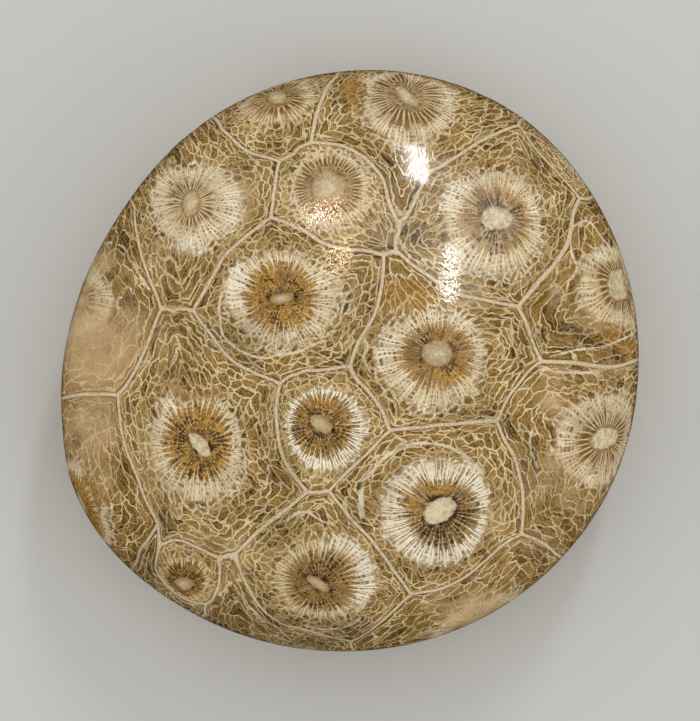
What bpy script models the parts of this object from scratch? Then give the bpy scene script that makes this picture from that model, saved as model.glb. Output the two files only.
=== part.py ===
"""A polished fossil coral head: one pebble of coral limestone, domed on top and cut off flat below.

The head is a full, slightly irregular pebble, widest along a level line, the girdle. It is sawn
flat below, where the colony stood on the sea floor, and the sharp edge of the cut is broken by a
small bevel. Metres, +Z up, origin in the middle of the cut.
"""

import math

import bmesh
import bpy
import numpy as np

MM = 0.001

# Driving dimensions, in millimetres.
DOME_HEIGHT = 19.0        # from the girdle up to the crown
GIRDLE_HEIGHT = 11.0      # from the flat cut up to the girdle
UNDERSIDE_DEPTH = 20.0    # how deep the pebble would reach under the girdle, uncut
EDGE_BEVEL = 0.6          # broken edge round the cut
SHOULDER = 0.92           # under 1 makes the shoulder fuller than an ellipse
CROWN_LEAN = (-1.2, 0.9)  # the crown stands this far off the middle, in x and y
SWELL = 0.3               # three soft swellings round the shoulder
SWELL_LOBES = 3
SWELL_TURN = math.radians(40)

# Girdle outline in plan: direction in degrees, counted from +X towards +Y, and distance from the middle.
OUTLINE = (
    (0, 37.8), (28, 38.3), (55, 39.05), (78, 38.6), (100, 37.65), (122, 36.7), (147, 35.8),
    (167, 36.6), (182, 37.75), (193, 38.7), (203, 39.8), (216, 39.95), (240, 38.85),
    (270, 37.95), (305, 37.8), (335, 37.9),
)

SEGMENTS = 104  # round the pebble
RINGS = 60      # from pole to pole, before the cut
BEVEL_STEPS = 2
SHARP_EDGE = math.radians(40)  # edges that turn more than this are not shaded smooth
CUT_TOLERANCE = 1e-7           # metres: points this near the cut count as on it
OUTLINE_SAMPLES = 3600         # for finding the middle of the outline's box

STONE_COLOUR = (0.42, 0.30, 0.16, 1.0)
STONE_ROUGHNESS = 0.14


def clear_scene():
    for found in list(bpy.data.objects):
        bpy.data.objects.remove(found)


def outline_radius(turn):
    """Distance of the girdle in the direction turn, in radians: a closed smooth curve through OUTLINE."""
    angles = np.radians([point[0] for point in OUTLINE])
    radii = np.array([point[1] for point in OUTLINE])
    count = len(OUTLINE)
    turn = np.mod(turn, 2 * math.pi)
    here = np.searchsorted(angles, turn, side="right") - 1
    after = (here + 1) % count
    before, beyond = (here - 1) % count, (here + 2) % count
    step = np.mod(angles[after] - angles[here], 2 * math.pi)
    share = (turn - angles[here]) / step
    reach_here = np.mod(angles[after] - angles[before], 2 * math.pi)
    reach_after = np.mod(angles[beyond] - angles[here], 2 * math.pi)
    slope_here = (radii[after] - radii[before]) / reach_here * step
    slope_after = (radii[beyond] - radii[here]) / reach_after * step
    return (
        (2 * share**3 - 3 * share**2 + 1) * radii[here]
        + (share**3 - 2 * share**2 + share) * slope_here
        + (3 * share**2 - 2 * share**3) * radii[after]
        + (share**3 - share**2) * slope_after
    )


def outline_centre():
    """Middle of the box round the girdle, which becomes the origin in plan."""
    turn = np.linspace(0, 2 * math.pi, OUTLINE_SAMPLES, endpoint=False)
    radius = outline_radius(turn)
    x, y = radius * np.cos(turn), radius * np.sin(turn)
    return (x.min() + x.max()) / 2, (y.min() + y.max()) / 2


def pebble_points(turn, rise):
    """Points of the uncut pebble: turn goes round it and rise is a latitude, both in radians."""
    up = np.clip(np.sin(rise), 0, None)
    down = np.clip(-np.sin(rise), 0, None)
    spread = np.cos(rise) ** SHOULDER
    swell = SWELL * np.sin(2 * rise) * np.cos(SWELL_LOBES * (turn - SWELL_TURN))
    radius = outline_radius(turn) * spread + swell
    middle_x, middle_y = outline_centre()
    x = radius * np.cos(turn) + CROWN_LEAN[0] * up**2 - middle_x
    y = radius * np.sin(turn) + CROWN_LEAN[1] * up**2 - middle_y
    z = GIRDLE_HEIGHT + DOME_HEIGHT * up - UNDERSIDE_DEPTH * down
    return np.stack([x, y, z], axis=-1) * MM


def stone_material():
    material = bpy.data.materials.new("polished_coral")
    material.use_nodes = True
    surface = material.node_tree.nodes["Principled BSDF"]
    surface.inputs["Base Color"].default_value = STONE_COLOUR
    surface.inputs["Roughness"].default_value = STONE_ROUGHNESS
    surface.inputs["Metallic"].default_value = 0.0
    return material


def shape_pebble(solid):
    """Moves the points of a unit sphere onto the pebble."""
    points = np.array([vertex.co for vertex in solid.verts])
    turn = np.arctan2(points[:, 1], points[:, 0])
    rise = np.arcsin(np.clip(points[:, 2], -1, 1))
    for vertex, place in zip(solid.verts, pebble_points(turn, rise)):
        vertex.co = place


def cut_flat(solid):
    """Saws the pebble off at z = 0 and breaks the edge of the cut."""
    bmesh.ops.bisect_plane(
        solid, geom=solid.verts[:] + solid.edges[:] + solid.faces[:], dist=CUT_TOLERANCE,
        plane_co=(0, 0, 0), plane_no=(0, 0, 1), clear_inner=True,
    )
    rim = [edge for edge in solid.edges if edge.is_boundary]
    bmesh.ops.holes_fill(solid, edges=rim, sides=0)
    bmesh.ops.bevel(
        solid, geom=rim, offset=EDGE_BEVEL * MM, offset_type="OFFSET", segments=BEVEL_STEPS,
        profile=0.5, affect="EDGES", clamp_overlap=True,
    )


def coral_head():
    solid = bmesh.new()
    bmesh.ops.create_uvsphere(solid, u_segments=SEGMENTS, v_segments=RINGS, radius=1.0)
    shape_pebble(solid)
    cut_flat(solid)
    bmesh.ops.recalc_face_normals(solid, faces=solid.faces[:])
    mesh = bpy.data.meshes.new("coral_head")
    solid.to_mesh(mesh)
    solid.free()
    mesh.shade_smooth()
    mesh.set_sharp_from_angle(angle=SHARP_EDGE)
    mesh.materials.append(stone_material())
    return bpy.data.objects.new("coral_head", mesh)


def main():
    clear_scene()
    collection = bpy.data.collections.new("fossil_coral_head")
    bpy.context.scene.collection.children.link(collection)
    collection.objects.link(coral_head())


main()
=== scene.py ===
import math

import bmesh
import bpy
import mathutils
import numpy as np
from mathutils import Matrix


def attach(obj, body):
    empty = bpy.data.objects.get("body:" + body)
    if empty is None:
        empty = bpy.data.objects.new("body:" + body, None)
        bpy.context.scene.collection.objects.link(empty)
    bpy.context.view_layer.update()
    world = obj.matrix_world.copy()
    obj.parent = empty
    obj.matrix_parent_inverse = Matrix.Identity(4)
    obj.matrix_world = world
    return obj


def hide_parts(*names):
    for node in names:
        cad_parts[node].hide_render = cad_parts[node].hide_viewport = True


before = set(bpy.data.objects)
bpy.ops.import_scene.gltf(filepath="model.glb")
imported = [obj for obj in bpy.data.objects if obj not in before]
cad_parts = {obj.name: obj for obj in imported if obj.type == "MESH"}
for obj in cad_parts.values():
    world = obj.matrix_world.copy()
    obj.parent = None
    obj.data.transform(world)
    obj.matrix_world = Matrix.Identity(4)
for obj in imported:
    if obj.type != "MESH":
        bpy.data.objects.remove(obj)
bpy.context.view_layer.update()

mm = 0.001
rng = np.random.default_rng(41)


# The form of the stone.
stoneForm = {
    "domeHeight": 19.0,         # mm, from the girdle up to the crown
    "girdleHeight": 11.0,       # mm, from the flat cut up to the girdle
    "undersideDepth": 20.0,     # mm, how deep the uncut pebble would reach
    "shoulder": 0.92,           # under 1 makes the shoulder fuller than an ellipse
    "crownLean": (-1.2, 0.9),   # mm, the crown stands this far off the middle
    "swell": 0.3,               # mm, soft swellings round the shoulder
    "swellLobes": 3,
    "swellTurn": 40,            # degrees
    "edgeRounding": 0.5,        # mm, broken edge round the cut
    "discSplit": 5.5,           # mm above the floor, where the two discs of the bake map part
    "outline": (                # degrees from +X towards +Y, and mm from the middle
        (0, 37.8), (28, 38.3), (55, 39.05), (78, 38.6), (100, 37.65), (122, 36.7), (147, 35.8),
        (167, 36.6), (182, 37.75), (193, 38.7), (203, 39.8), (216, 39.95), (240, 38.85),
        (270, 37.95), (305, 37.8), (335, 37.9)),
}
meanRadius = 38.0               # mm, for measuring along the stone before it is exact
girdleHeight, domeHeight = stoneForm["girdleHeight"], stoneForm["domeHeight"]
undersideDepth = stoneForm["undersideDepth"]


# Radius of the girdle in a direction: cubic Hermite pieces between the outline's points, with each
# slope taken from the point's two neighbours.
def girdleRadius(turn):
    angles, radii = np.array(stoneForm["outline"]).T
    angles, count, around = np.radians(angles), len(angles), 2 * math.pi
    turn = np.mod(turn, around)
    here = np.searchsorted(angles, turn, side="right") - 1
    after, before, beyond = (here + 1) % count, (here - 1) % count, (here + 2) % count
    step = np.mod(angles[after] - angles[here], around)
    slopeHere = (radii[after] - radii[before]) / np.mod(angles[after] - angles[before], around) * step
    slopeAfter = (radii[beyond] - radii[here]) / np.mod(angles[beyond] - angles[here], around) * step
    t = (turn - angles[here]) / step
    return ((2 * t**3 - 3 * t**2 + 1) * radii[here] + (t**3 - 2 * t**2 + t) * slopeHere
            + (3 * t**2 - 2 * t**3) * radii[after] + (t**3 - t**2) * slopeAfter)


# Middle of the box round the girdle.
def girdleMiddle():
    turn = np.linspace(0, 2 * math.pi, 3600, endpoint=False)
    x, y = girdleRadius(turn) * np.cos(turn), girdleRadius(turn) * np.sin(turn)
    return np.array([x.min() + x.max(), y.min() + y.max()]) / 2


middleOfGirdle = girdleMiddle()


# Where the axis of the stone stands at a level, and how far out the surface is there:
# reach = girdle * cos(rise)^shoulder + swell * sin(2 rise) * cos(lobes * turn).
def axisAt(rise):
    up = np.clip(np.sin(rise), 0, None)[..., None]
    return np.array(stoneForm["crownLean"]) * up**2 - middleOfGirdle


def reachAt(turn, rise):
    lobes = np.cos(stoneForm["swellLobes"] * (turn - math.radians(stoneForm["swellTurn"])))
    spread = np.clip(np.cos(rise), 0, None) ** stoneForm["shoulder"]
    return girdleRadius(turn) * spread + stoneForm["swell"] * np.sin(2 * rise) * lobes


# Point of the uncut pebble, in mm, for a direction round it and a rise above or below the girdle.
def pebblePoint(turn, rise):
    reach, axis = reachAt(turn, rise), axisAt(rise)
    height = np.where(rise > 0, domeHeight, undersideDepth) * np.sin(rise) + girdleHeight
    return np.stack([reach * np.cos(turn) + axis[..., 0], reach * np.sin(turn) + axis[..., 1], height], -1)


# The cut: below it the height is zero, and within the rounding a parabola joins the two.
def cutHeight(height):
    width = stoneForm["edgeRounding"]
    return np.where(height > width, height,
                    np.where(height < -width, 0, (height + width) ** 2 / (4 * width)))


# A place on the stone is also kept as a point of a plain ellipsoid of its size, the bulk, where
# places can be averaged and joined by chords.
def bulkOf(turn, rise):
    height = np.where(rise > 0, domeHeight, undersideDepth)
    return np.stack([meanRadius * np.cos(rise) * np.cos(turn), meanRadius * np.cos(rise) * np.sin(turn),
                     height * np.sin(rise)], -1)


def turnAndRise(bulk):
    height = np.where(bulk[..., 2] > 0, domeHeight, undersideDepth)
    flat = np.hypot(bulk[..., 0], bulk[..., 1]) / meanRadius
    return np.arctan2(bulk[..., 1], bulk[..., 0]), np.arctan2(bulk[..., 2] / height, flat)


def onBulk(bulk):
    return bulkOf(*turnAndRise(bulk))


# Places that show from above are read on a plan grid, x to the right and y down. The grid lies at
# the girdle and is seen from the eye, so a place on the dome is where the line of sight meets it.
planGrid = {
    "step": 0.1311,             # mm
    "middle": (350, 360.25),    # grid place of the stone's middle
    "eyeHeight": 404.8,         # mm above the floor
    "halvings": 40,
}


# Halves the height between girdle and crown until the line of sight meets the dome.
def seenOnDome(places):
    places = np.asarray(places, float)
    step, (midX, midY), eye = planGrid["step"], planGrid["middle"], planGrid["eyeHeight"]
    flat = np.stack([places[..., 0] - midX, midY - places[..., 1]], -1) * step
    low, high = np.zeros(flat.shape[:-1]), np.ones(flat.shape[:-1])
    for _ in range(planGrid["halvings"]):
        up = (low + high) / 2
        rise = np.arcsin(up)
        share = (eye - girdleHeight - domeHeight * up) / (eye - girdleHeight)
        off = flat * share[..., None] - axisAt(rise)
        turn = np.arctan2(off[..., 1], off[..., 0])
        outside = np.hypot(off[..., 0], off[..., 1]) > reachAt(turn, rise)
        low, high = np.where(outside, low, up), np.where(outside, up, high)
    return turn, rise


# Grid place at which a point of the stone is seen from the eye.
def seenFromEye(points):
    step, (midX, midY), eye = planGrid["step"], planGrid["middle"], planGrid["eyeHeight"]
    share = (eye - girdleHeight) / (eye - points[..., 2]) / step
    return np.stack([midX + points[..., 0] * share, midY - points[..., 1] * share], -1)


# Each corallite is a cup with a letter. A corner is named by the three cups that meet there.
cupCorners = {
    "ACO": (279, 161), "BCO": (311, 142), "ACE": (271, 217), "AEG": (193, 310), "AGP": (161, 309),
    "GPQ": (118, 395), "GQW": (158, 523), "GLW": (160, 545), "GLU": (218, 557), "GKU": (236, 553),
    "GHK": (307, 492), "HIK": (329, 491), "EGH": (280, 383), "EFH": (350, 366), "CEF": (384, 255),
    "CDF": (396, 250), "BCD": (398, 222), "BDT": (519, 125), "DMT": (580, 198), "DFM": (518, 306),
    "FMN": (541, 361), "FIN": (497, 421), "FHI": (390, 430), "INR": (522, 534), "IKR": (411, 594),
    "KRU": (352, 641), "LUW": (206, 604),
}
# A wall is named by the two cups it parts. These are the places it bends through.
wallBends = {
    "AC": ((274, 190),),
    "AO": ((247, 150), (224, 131), (218, 122)),
    "BO": ((315, 120), (322, 100), (330, 83), (337, 75)),
    "BC": ((340, 145), (358, 153), (374, 166), (383, 179), (388, 200)),
    "CE": ((301, 229), (324, 243), (343, 249), (364, 250)),
    "AE": ((239, 242), (222, 260), (207, 286)),
    "AP": ((155, 291), (140, 250), (134, 212), (133, 204)),
    "GP": ((149, 339), (141, 358), (128, 382)),
    "PQ": ((100, 394), (75, 395)),
    "GQ": ((120, 422), (126, 449), (134, 470), (143, 493)),
    "QW": ((150, 537), (140, 550), (136, 562)),
    "LW": ((156, 557), (155, 569), (166, 584), (180, 596), (194, 602)),
    "GL": ((175, 540), (192, 545)),
    "LU": ((220, 575), (214, 597)),
    "KU": ((240, 570), (248, 587), (262, 609), (285, 625), (303, 629), (335, 638)),
    "GK": ((261, 529), (286, 509)),
    "GH": ((286, 463), (279, 440), (276, 409)),
    "EG": ((215, 341), (228, 356), (242, 366), (259, 374)),
    "EH": ((297, 373), (324, 369)),
    "EF": ((357, 345), (370, 323), (380, 295), (383, 271)),
    "CF": (),
    "BD": ((408, 214), (428, 175), (441, 166), (460, 154), (480, 141), (499, 132)),
    "BT": ((521, 120),),
    "DT": ((537, 150), (556, 171)),
    "MT": ((590, 198),),
    "DM": ((574, 210), (571, 227), (566, 245), (556, 262), (545, 275), (530, 293)),
    "DF": ((412, 264), (431, 277), (451, 291), (468, 297), (489, 301)),
    "FM": ((530, 333),),
    "MN": ((576, 363), (600, 366), (625, 364), (636, 360)),
    "FN": ((530, 370), (518, 384), (508, 397)),
    "FI": ((480, 421), (460, 423), (441, 424), (422, 427)),
    "FH": ((356, 378), (368, 391), (380, 407)),
    "HI": ((380, 440), (349, 470)),
    "IK": ((340, 505), (360, 528), (374, 543), (389, 563)),
    "KR": ((400, 604), (388, 616), (375, 627), (360, 637)),
    "IN": ((503, 436), (512, 451), (519, 472), (523, 505)),
    "NR": ((537, 540), (549, 547), (559, 556)),
    "IR": ((508, 541), (495, 551), (480, 565), (460, 580), (441, 589), (426, 592)),
}
wideWalls = {"DM": 1.35, "BO": 1.15, "HI": 0.85, "AG": 0.9, "MN": 1.1}

# Cups that cross the rim, turning left from +X, and where the wall before each stands, in degrees.
rimCups = (("M", 0), ("T", 34), ("B", 54.5), ("O", 92.4), ("A", 119.3), ("P", 143.3), ("Q", 187.3),
           ("W", 224), ("U", 240.5), ("R", 270.4), ("N", 316.8))
# Below them runs a skirt of cups that turn under the edge, and inside it a ring on the cut face.
hiddenRings = {
    "rimFoot": -10.0,           # degrees of rise where rim cups end and skirt cups begin
    "skirtFoot": -49.0,         # and where the skirt meets the base ring
    "baseFoot": -76.5,          # and where the base ring meets the middle cup
    "sway": 6.5,                # degrees up or down that make the meeting lines zigzag
    "baseWalls": (30, 92, 148, 219, 274, 316),
    "shake": 2.0,               # degrees of chance in all of these
}
wallMake = {
    "half": 0.2,                # mm, half the thickness of a wall
    "sampleStep": 0.5,          # mm between points along a wall
    "curveSteps": 12,           # fine steps between two bends
    "seenWobble": 0.07,         # mm
    "hiddenWobble": 0.3,        # mm
    "fullSway": 8,              # mm, the length from which a wall sways that much
    "chanceWidth": (0.85, 1.1),     # of a wall against the usual
}


# Corners of the hidden cups. Walls from above (upper) and walls going on below (lower) are listed
# by turn; each meets the cup that faces it, and sways away from its own wall.
def meetingLine(corners, upper, lower, rise):
    events = sorted([(turn, 1, pair) for turn, pair in upper] + [(turn, -1, pair) for turn, pair in lower])
    current = {1: upper[-1][1][1], -1: lower[-1][1][1]}
    for turn, side, pair in events:
        current[side] = pair[1]
        shake = rng.uniform(-0.4, 0.4, 2) * hiddenRings["shake"]
        place = np.radians([turn + shake[0], rise + side * hiddenRings["sway"] + shake[1]])
        corners[frozenset((*pair, current[-side]))] = bulkOf(*place)


def allCorners():
    corners = {frozenset(name): bulkOf(*seenOnDome(place)) for name, place in cupCorners.items()}
    names, turns = [name for name, _ in rimCups], [turn for _, turn in rimCups]
    count, shake = len(names), hiddenRings["shake"]
    rimWalls = [(turns[i], (names[i - 1], names[i])) for i in range(count)]
    nextTurns = turns[1:] + [turns[0] + 360]
    skirtWalls = []
    for i in range(count):
        middle = (turns[i] + nextTurns[i]) / 2
        skirtWalls.append((middle + rng.uniform(-shake, shake), (f"s{i}", f"s{(i + 1) % count}")))
    baseCount = len(hiddenRings["baseWalls"])
    baseWalls = [(turn, (f"b{(i - 1) % baseCount}", f"b{i}"))
                 for i, turn in enumerate(hiddenRings["baseWalls"])]
    meetingLine(corners, rimWalls, skirtWalls, hiddenRings["rimFoot"])
    meetingLine(corners, skirtWalls, baseWalls, hiddenRings["skirtFoot"])
    for turn, pair in baseWalls:
        shift = rng.uniform(-shake, shake) * 3, rng.uniform(-1, 1)
        place = np.radians([turn + shift[0], hiddenRings["baseFoot"] + shift[1]])
        corners[frozenset((*pair, "c"))] = bulkOf(*place)
    return corners


# A smooth path through points: Catmull-Rom pieces, cut into even steps.
def smoothPath(points, step):
    points = np.asarray(points)
    ends = np.concatenate([[2 * points[0] - points[1]], points, [2 * points[-1] - points[-2]]])
    share = np.linspace(0, 1, wallMake["curveSteps"], endpoint=False)[:, None]
    a, b, c, d = (ends[i:len(ends) - 3 + i, None] for i in range(4))
    fine = 0.5 * (2 * b + (c - a) * share + (2 * a - 5 * b + 4 * c - d) * share**2
                  + (3 * b - a - 3 * c + d) * share**3)
    fine = np.concatenate([fine.reshape(-1, 3), points[-1:]])
    length = np.concatenate([[0], np.cumsum(np.linalg.norm(np.diff(fine, axis=0), axis=1))])
    even = np.linspace(0, length[-1], max(3, round(length[-1] / step) + 1))
    return np.stack([np.interp(even, length, fine[:, i]) for i in range(3)], -1)


# A wall sways sideways by a few sines that vanish at its corners.
def swayed(path, amount):
    share = np.linspace(0, 1, len(path))[:, None]
    side = np.cross(np.gradient(path, axis=0), path / [meanRadius, meanRadius, domeHeight])
    side /= np.linalg.norm(side, axis=1, keepdims=True)
    waves = np.array([2, 3, 5, 8])
    sizes, phases = rng.normal(0, 1, 4) / waves**0.6, rng.uniform(0, 2 * math.pi, 4)
    offset = (np.sin(math.pi * waves * share + phases) * sizes).sum(1, keepdims=True)
    amount *= min(1, len(path) * wallMake["sampleStep"] / wallMake["fullSway"])
    return path + side * offset * amount * np.sin(math.pi * share) ** 0.7


def allWalls(corners):
    walls = {}
    for name in corners:
        for pair in ([a, b] for a in name for b in name if a < b):
            walls.setdefault(frozenset(pair), []).append(name)
    made = {}
    for pair, (start, end) in sorted(walls.items(), key=lambda wall: sorted(wall[0])):
        bends = [bulkOf(*seenOnDome(place)) for place in wallBends.get("".join(sorted(pair)), ())]
        if "".join(sorted(start)) not in cupCorners:
            start, end = end, start
        bends.sort(key=lambda place: np.linalg.norm(place - corners[start]))
        path = smoothPath([corners[start], *bends, corners[end]], wallMake["sampleStep"])
        seen = "".join(sorted(pair)) in wallBends
        made[pair] = start, end, onBulk(swayed(path, wallMake["seenWobble" if seen else "hiddenWobble"]))
    return made


corners = allCorners()
walls = allWalls(corners)
print("map:", len(corners), "corners,", len(walls), "walls")


# What each corallite looks like. heart is its place on the plan grid, core the columella's half
# length, half width and tilt. disc and ring are how far the edges of the spoked disc and the pale
# ring lie from the heart, in even directions from +X turning left. Lengths are grid steps; where a
# direction runs over the rim, far gives disc and ring in mm.
formNames = ("heart", "core", "disc", "ring", "far")
cupForms = {
    "A": ((191, 203), (13, 8, 80), (30, 30, 29, 30), (53, 48, 41, 44, 44, 45, 50, 50), (4.2, 6.9)),
    "B": ((406, 96), (15, 5, -42), (39, 34, 24, 30, 36, 34, 33, 36), (56, 56, 60, 56, 48, 50, 54, 56),
          (4.8, 7.4)),
    "C": ((328, 187), (17, 15, 20), (34, 33, 33, 34), (47, 42, 38, 38, 38, 42, 45, 46), (4.4, 6.0)),
    "D": ((497, 218), (16, 12, 0), (34, 33, 39, 38), (48, 50, 54, 56, 57, 60, 66, 58), (4.8, 7.0)),
    "E": ((282, 298), (13, 5, 10), (36, 36, 39, 34), (66, 52, 50, 55, 59, 57, 54, 57), (4.8, 7.2)),
    "F": ((437, 353), (16, 13, 0), (38, 31, 37, 37), (53, 50, 45, 53, 65, 66, 62, 56), (4.8, 7.4)),
    "G": ((200, 444), (15, 7, -48), (32, 38, 45, 40, 37, 36, 38, 35), (46, 47, 54, 58, 54, 60, 66, 58),
          (4.8, 7.0)),
    "H": ((321, 424), (13, 7, -35), (31, 31, 29, 34), (44, 39, 35, 34, 34, 38, 46, 46), (4.2, 6.0)),
    "I": ((440, 510), (19, 12, 35), (40, 35, 30, 34, 35, 36, 38, 39), (48, 54, 50, 55, 60, 58, 55, 50),
          (4.9, 7.2)),
    "K": ((318, 583), (14, 5, -31), (40, 37, 33, 33, 32, 30, 27, 34), (57, 56, 48, 48, 48, 42, 38, 46),
          (4.6, 6.8)),
    "L": ((183, 585), (11, 8, 0), (21, 24, 23, 22, 20, 14, 11, 15), (27, 30, 31, 30, 26, 19, 15, 20),
          (3.2, 4.4)),
    "M": ((620, 284), (16, 12, 90), (40, 40, 30, 32, 30, 32, 33, 40), (60, 60, 42, 48, 50, 48, 46, 60),
          (4.4, 7.0)),
    "N": ((606, 438), (15, 10, 20), (32, 34, 36, 37, 40, 38, 38, 35), (60, 60, 46, 50, 56, 56, 54, 60),
          (5.2, 7.4)),
    "O": ((277, 97), (9, 6, 0), (28, 24, 20, 24, 32, 24, 19, 22), (40, 40, 40, 40, 44, 38, 31, 34),
          (4.0, 5.8)),
    "P": ((80, 300), (8, 9, 90), (24, 22, 24, 30, 30, 30, 24, 24), (40, 36, 40, 50, 50, 50, 38, 38),
          (4.6, 7.2)),
}
# Those whose heart is over the rim have it in degrees of turn and rise, and then far.
rimForms = {
    "Q": ((208, 8), (4.7, 7.4)),
    "R": ((296, 7), (4.6, 7.2)),
    "T": ((43, -3), (3.8, 5.6)),
    "U": ((258, -3), (3.6, 5.2)),
    "W": ((231, -8), (2.8, 4.0)),
}
# amber and soot stain the disc, white brightens the ring, spoke darkens the disc and grey dulls all.
# pale is for the core and light for the disc's rim. lace turns the ring's dashes into dots, cells is
# how many bubbles lie in the usual length, and septa how many septa stand round.
stainNames = ("amber", "soot", "white", "spoke", "grey", "pale", "light", "lace", "cells", "septa")
cupStains = {
    "A": (0, 0, 0.55, 0.91, 0.2, 0.3, 0.5, 0.85, 0.9, 38),
    "B": (0.05, 0.05, 0.5, 1.0, 0.1, 0.35, 0.6, 0.85, 0.95, 42),
    "C": (0, 0, 0.1, 1.05, 0.3, 0.25, 0.9, 0.85, 1, 46),
    "D": (0.2, 0.45, 0.55, 0.6, 0.15, 0.6, 0.9, 0.8, 1, 38),
    "E": (0.5, 0.6, 0.5, 0.55, 0, 0.1, 0.25, 0.75, 1, 38),
    "F": (0.35, 0.35, 0.55, 0.7, 0.1, 0.25, 0.55, 0.8, 1, 38),
    "G": (0.6, 0.75, 0.5, 0.5, 0, 0.7, 0.4, 0.85, 1, 38),
    "H": (0.5, 0.75, 0.95, 0.55, 0, 0.25, 0, 0.15, 1, 38),
    "I": (0.32, 0.7, 0.75, 0.6, 0.05, 0.75, 0.6, 0.4, 1, 38),
    "K": (0.3, 0.65, 0.45, 0.55, 0.05, 0, 0.25, 0.5, 1, 38),
    "L": (0.35, 1.0, 0.05, 0.55, 0, 0, 0, 0.1, 1, 26),
    "M": (0.05, 0, 0.4, 0.92, 0.1, 0.5, 1.0, 0.8, 0.62, 34),
    "N": (0.05, 0.05, 0.5, 0.92, 0.1, 0.6, 0.7, 0.8, 0.78, 36),
    "O": (0.05, 0, 0.35, 1.0, 0.0, 0.3, 0.6, 0.45, 1, 30),
    "P": (0.05, 0, 0.45, 0.9, 0.1, 0, 0.6, 0.9, 0.55, 38),
    "Q": (0.95, 0.2, 0.5, 0.5, 0, 0.5, 0.3, 0.8, 0.6, 38),
    "R": (0.1, 0.1, 0.4, 0.9, 0.4, 0.3, 0.4, 0.8, 0.7, 38),
    "T": (0.2, 0.1, 0.5, 0.6, 0.1, 0.5, 0.3, 0.7, 1, 30),
    "U": (0.2, 0.3, 0.2, 0.5, 0, 0.3, 0, 0.7, 1, 30),
    "W": (0.4, 0.3, 0.5, 0.6, 0, 0.3, 0.2, 0.7, 1, 30),
}
cupLooks = {name: dict(zip(stainNames, stains)) for name, stains in cupStains.items()}
for name, form in cupForms.items():
    cupLooks[name].update(zip(formNames, form))
for name, form in rimForms.items():
    cupLooks[name].update(zip(("at", "far"), form))
hiddenLook = {                  # ranges for the corallites under the rim and on the cut face
    "disc": (3.9, 4.9),         # mm
    "ring": (6.1, 7.4),
    "core": (1.0, 1.9),
    "shift": 1.0,               # mm, how far the heart may stand off the middle of its cup
    "amber": (0.0, 0.8), "soot": (0.1, 0.7), "white": (0.4, 0.8), "spoke": (0.35, 0.9),
    "grey": (0.0, 0.3), "pale": (0.1, 1.0), "light": (0.0, 0.8), "lace": (0.3, 0.9),
    "cells": (0.7, 1.05),
    "septa": 38,
}
# Second outlines inside some cups, where growth stopped for a time.
innerOutlines = {
    "E": (((222, 290), (219, 306), (220, 320), (223, 335), (235, 347), (250, 355), (265, 358),
           (280, 354), (297, 352), (320, 342), (335, 338), (348, 330)),),
    "F": (((363, 336), (368, 348), (363, 356), (370, 372)),),
    "I": (((485, 475), (470, 460), (450, 447), (425, 443), (405, 446), (385, 457), (375, 468),
           (365, 480), (361, 495), (362, 515)),),
    "K": (((285, 523), (295, 514), (308, 512), (320, 520), (335, 525)),
          ((303, 625), (320, 629), (340, 628), (352, 624), (362, 617))),
    "M": (((566, 305), (568, 283), (577, 267), (571, 250), (573, 227), (590, 221), (600, 235), (612, 250)),
          ((548, 357), (575, 350), (600, 347), (618, 341), (636, 330))),
    "P": (((100, 245), (120, 245), (130, 260), (150, 290)),),
    "Q": (((80, 455), (82, 445), (90, 438), (105, 430), (115, 437)),),
    "T": (((522, 130), (545, 142)),),
    "U": (((225, 600), (238, 592), (250, 607), (262, 621), (275, 625), (285, 635)),),
    "N": (((538, 368), (560, 372), (598, 372)), ((538, 470), (530, 440), (545, 405), (560, 392))),
}
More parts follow.
